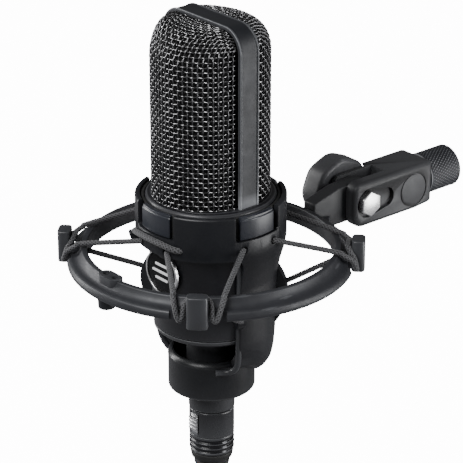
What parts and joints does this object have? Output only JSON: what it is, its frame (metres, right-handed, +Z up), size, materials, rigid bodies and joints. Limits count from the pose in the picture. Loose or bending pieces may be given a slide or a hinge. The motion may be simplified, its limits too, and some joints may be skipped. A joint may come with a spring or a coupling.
{
  "type": "condenser microphone",
  "caption": "Side-address condenser microphone in a braided-cord shock mount, on a swivelling stand adapter, with its cable plug fitted.",
  "frame": {"origin": "centre of the cable's cut end", "axes": "+Z up along the microphone's axis, -Y out of its front, +Y along the stand adapter at rest, X along the tilt bolt"},
  "size_m": [0.117, 0.1928, 0.26],
  "materials": {
    "satin_grey_metal": "satin dark grey coat",
    "satin_black_metal": "satin black coat",
    "black_plastic": "moulded, fine grain",
    "dark_wire": "blackened woven wire",
    "braided_cord": "braided sheath",
    "bright_steel": "plated",
    "brass": "turned",
    "gold_film": "sputtered film",
    "black_rubber": "matte",
    "circuit_board": "solder mask",
    "badge_black": "enamel"
  },
  "bodies": {
    "adapter": {"adapter_block": "satin_black_metal", "thread_sleeve": "satin_grey_metal", "pivot_bolt": "bright_steel", "knob_washer": "bright_steel"},
    "knob": {"tilt_knob": "black_plastic", "knob_insert": "brass"},
    "ring": {"suspension_ring": "satin_grey_metal", "cord_post_front_right": "black_plastic", "cord_post_rear_right": "black_plastic", "cord_post_rear_left": "black_plastic", "cord_post_front_left": "black_plastic", "boss_stud": "black_plastic", "boss_screw_left": "bright_steel", "boss_screw_right": "bright_steel", "upper_cord_front_right": "braided_cord", "upper_cord_rear_right": "braided_cord", "upper_cord_rear_left": "braided_cord", "upper_cord_front_left": "braided_cord", "lower_cord_front_right": "braided_cord", "lower_cord_rear_right": "braided_cord", "lower_cord_rear_left": "braided_cord", "lower_cord_front_left": "braided_cord"},
    "cradle": {"cradle_shell": "black_plastic", "cradle_liner": "black_rubber", "lock_cup": "black_plastic", "bridge_cord": "braided_cord", "grille_frame": "satin_grey_metal", "front_mesh": "dark_wire", "rear_mesh": "dark_wire", "inner_screen": "dark_wire", "head_ring": "satin_black_metal", "capsule_ring": "brass", "backplate": "brass", "front_diaphragm": "gold_film", "rear_diaphragm": "gold_film", "capsule_saddle": "black_plastic", "chassis_plate": "satin_grey_metal", "body_shell": "satin_black_metal", "bottom_neck": "satin_black_metal", "circuit_board": "circuit_board", "chassis_rail_right": "satin_grey_metal", "chassis_rail_left": "satin_grey_metal", "socket_insert": "black_plastic", "socket_pin_1": "bright_steel", "socket_pin_2": "bright_steel", "socket_pin_3": "bright_steel", "badge_face": "badge_black", "badge_ring": "bright_steel"},
    "plug": {"plug_contacts": "black_plastic", "plug_shell": "satin_black_metal", "plug_collar": "satin_black_metal", "cable_boot": "black_rubber", "cable_stub": "black_rubber"},
    "latch": {"plug_latch": "bright_steel"}
  },
  "joints": [
    {"name": "mount_tilt", "type": "hinge", "parent": "adapter", "child": "ring", "pos_m": [0, 0.0793, 0.1609], "axis": [1, 0, 0], "range_deg": [-90, 90]},
    {"name": "knob_turn", "type": "hinge", "parent": "adapter", "child": "knob", "pos_m": [0, 0.0793, 0.1609], "axis": [1, 0, 0], "range_deg": [-180, 180]},
    {"name": "cradle_float", "type": "slide", "parent": "ring", "child": "cradle", "axis": [0, 0, 1], "range_m": [-0.004, 0.004], "stiffness_N_per_m": 1500, "springref_m": 0.0034, "deforming": ["upper_cord_front_right", "upper_cord_rear_right", "upper_cord_rear_left", "upper_cord_front_left", "lower_cord_front_right", "lower_cord_rear_right", "lower_cord_rear_left", "lower_cord_front_left"]},
    {"name": "plug_pull", "type": "slide", "parent": "cradle", "child": "plug", "axis": [0, 0, -1], "range_m": [0, 0.022]},
    {"name": "latch_press", "type": "slide", "parent": "plug", "child": "latch", "axis": [0, 1, 0], "range_m": [0, 0.001], "stiffness_N_per_m": 1200}
  ]
}
